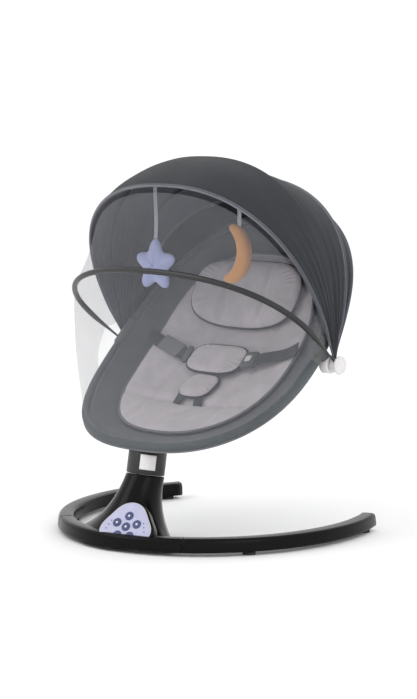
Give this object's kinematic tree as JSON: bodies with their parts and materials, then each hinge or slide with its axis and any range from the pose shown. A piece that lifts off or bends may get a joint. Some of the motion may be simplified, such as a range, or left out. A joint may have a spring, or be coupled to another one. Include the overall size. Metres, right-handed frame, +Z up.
{
  "type": "baby swing",
  "caption": "Electric baby swing: open curved base with a tilted drive column, padded round seat with waist strap, folding hood, insect net on a hoop and hanging star and moon toys.",
  "frame": {"origin": "on the floor, in the middle of the foot under the drive column", "axes": "+Z up; the baby faces -Y, towards the column's control panel side; the baby's left is +X"},
  "size_m": [0.542, 0.4617, 0.6561],
  "materials": {
    "gloss_black": "gloss",
    "satin_black": "satin",
    "rubber": "matte",
    "lilac": "satin",
    "navy": "satin",
    "board_green": "satin",
    "steel": "satin",
    "copper": "satin",
    "white": "satin",
    "seat_cloth": "woven",
    "pad_cloth": "plush",
    "webbing": "woven",
    "grey_plastic": "satin",
    "hood_cloth": "woven",
    "net_cloth": "mesh",
    "ribbon": "woven",
    "star_cloth": "plush",
    "moon_cloth": "plush"
  },
  "bodies": {
    "base": {"column_housing": "gloss_black", "column_bottom_cover": "satin_black", "power_jack": "satin_black", "left_leg": "gloss_black", "right_leg": "gloss_black", "left_leg_cap": "satin_black", "right_leg_cap": "satin_black", "front_foot": "rubber", "left_side_foot": "rubber", "right_side_foot": "rubber", "left_rear_foot": "rubber", "right_rear_foot": "rubber", "control_panel": "lilac", "control_board": "board_green", "upper_bearing": "steel", "lower_bearing": "steel", "drive_coil": "copper", "speaker": "satin_black"},
    "swing_seat": {"output_shaft": "steel", "magnet_arm": "satin_black", "neck_housing": "satin_black", "neck_label": "white", "seat_front_tube": "steel", "seat_rear_tube": "steel", "seat_shell": "seat_cloth", "seat_spine": "satin_black", "seat_bracket": "satin_black", "seat_pad": "pad_cloth", "head_pillow": "pad_cloth", "belly_pad": "pad_cloth", "crotch_strap": "pad_cloth", "left_waist_strap": "webbing", "right_waist_strap": "webbing", "waist_buckle": "grey_plastic", "strap_adjuster": "grey_plastic", "left_hub": "white", "right_hub": "white", "left_knob": "white", "right_knob": "white", "hood_back_skirt": "hood_cloth"},
    "buckle_release": {"buckle_button": "white"},
    "hood_front": {"hood_front_panel": "hood_cloth", "hood_front_bow": "satin_black"},
    "hood_middle": {"hood_middle_panel": "hood_cloth", "hood_middle_bow": "satin_black"},
    "hood_rear": {"hood_rear_panel": "hood_cloth", "hood_rear_bow": "satin_black"},
    "insect_net": {"net_hoop": "satin_black", "upper_net": "net_cloth", "lower_net": "net_cloth"},
    "hanging_star": {"star_ribbon": "ribbon", "star_toy": "star_cloth"},
    "hanging_moon": {"moon_ribbon": "ribbon", "moon_toy": "moon_cloth"},
    "power_button": {"button_power": "navy"},
    "up_button": {"button_up": "navy"},
    "music_button": {"button_music": "navy"},
    "mode_button": {"button_mode": "navy"},
    "timer_button": {"button_timer": "navy"},
    "swing_button": {"button_swing": "navy"}
  },
  "joints": [
    {"name": "swing", "type": "hinge", "parent": "base", "child": "swing_seat", "pos_m": [0, 0.032, 0.114], "axis": [0, 0.1736, 0.9848], "range_deg": [-12, 12]},
    {"name": "hood_fold", "type": "hinge", "parent": "swing_seat", "child": "hood_front", "pos_m": [0, 0.242, 0.304], "axis": [-1, 0, 0], "range_deg": [0, 42]},
    {"name": "hood_middle_fold", "type": "hinge", "parent": "swing_seat", "child": "hood_middle", "pos_m": [0, 0.242, 0.304], "axis": [-1, 0, 0], "range_deg": [0, 17.65]},
    {"name": "hood_rear_fold", "type": "hinge", "parent": "swing_seat", "child": "hood_rear", "pos_m": [0, 0.242, 0.304], "axis": [-1, 0, 0], "range_deg": [0, 12.61], "deforming": ["hood_back_skirt"]},
    {"name": "net_fold", "type": "hinge", "parent": "swing_seat", "child": "insect_net", "pos_m": [0, 0.242, 0.304], "axis": [-1, 0, 0], "range_deg": [-60, 8], "deforming": ["lower_net"]},
    {"name": "star_hang", "type": "hinge", "parent": "hood_middle", "child": "hanging_star", "pos_m": [-0.104, 0.167, 0.61377], "axis": [1, 0, 0], "range_deg": [-15, 15]},
    {"name": "moon_hang", "type": "hinge", "parent": "hood_middle", "child": "hanging_moon", "pos_m": [0.093, 0.167, 0.61718], "axis": [1, 0, 0], "range_deg": [-15, 15]},
    {"name": "buckle_press", "type": "slide", "parent": "swing_seat", "child": "buckle_release", "axis": [0.2079, 0.691, -0.6923], "range_m": [0, 0.002], "stiffness_N_per_m": 400, "springref_m": -0.002},
    {"name": "press_power", "type": "slide", "parent": "base", "child": "power_button", "axis": [-0.1957, 0.785, -0.5878], "range_m": [0, 0.001], "stiffness_N_per_m": 600, "springref_m": -0.002},
    {"name": "press_up", "type": "slide", "parent": "base", "child": "up_button", "axis": [-0.1957, 0.785, -0.5878], "range_m": [0, 0.001], "stiffness_N_per_m": 600, "springref_m": -0.002},
    {"name": "press_music", "type": "slide", "parent": "base", "child": "music_button", "axis": [-0.1957, 0.785, -0.5878], "range_m": [0, 0.001], "stiffness_N_per_m": 600, "springref_m": -0.002},
    {"name": "press_mode", "type": "slide", "parent": "base", "child": "mode_button", "axis": [-0.1957, 0.785, -0.5878], "range_m": [0, 0.001], "stiffness_N_per_m": 600, "springref_m": -0.002},
    {"name": "press_timer", "type": "slide", "parent": "base", "child": "timer_button", "axis": [-0.1957, 0.785, -0.5878], "range_m": [0, 0.001], "stiffness_N_per_m": 600, "springref_m": -0.002},
    {"name": "press_swing", "type": "slide", "parent": "base", "child": "swing_button", "axis": [-0.1957, 0.785, -0.5878], "range_m": [0, 0.001], "stiffness_N_per_m": 600, "springref_m": -0.002}
  ],
  "couplings": [
    {"joint": "hood_middle_fold", "follows": "hood_fold", "ratio": 0.42},
    {"joint": "hood_rear_fold", "follows": "hood_fold", "ratio": 0.3}
  ]
}
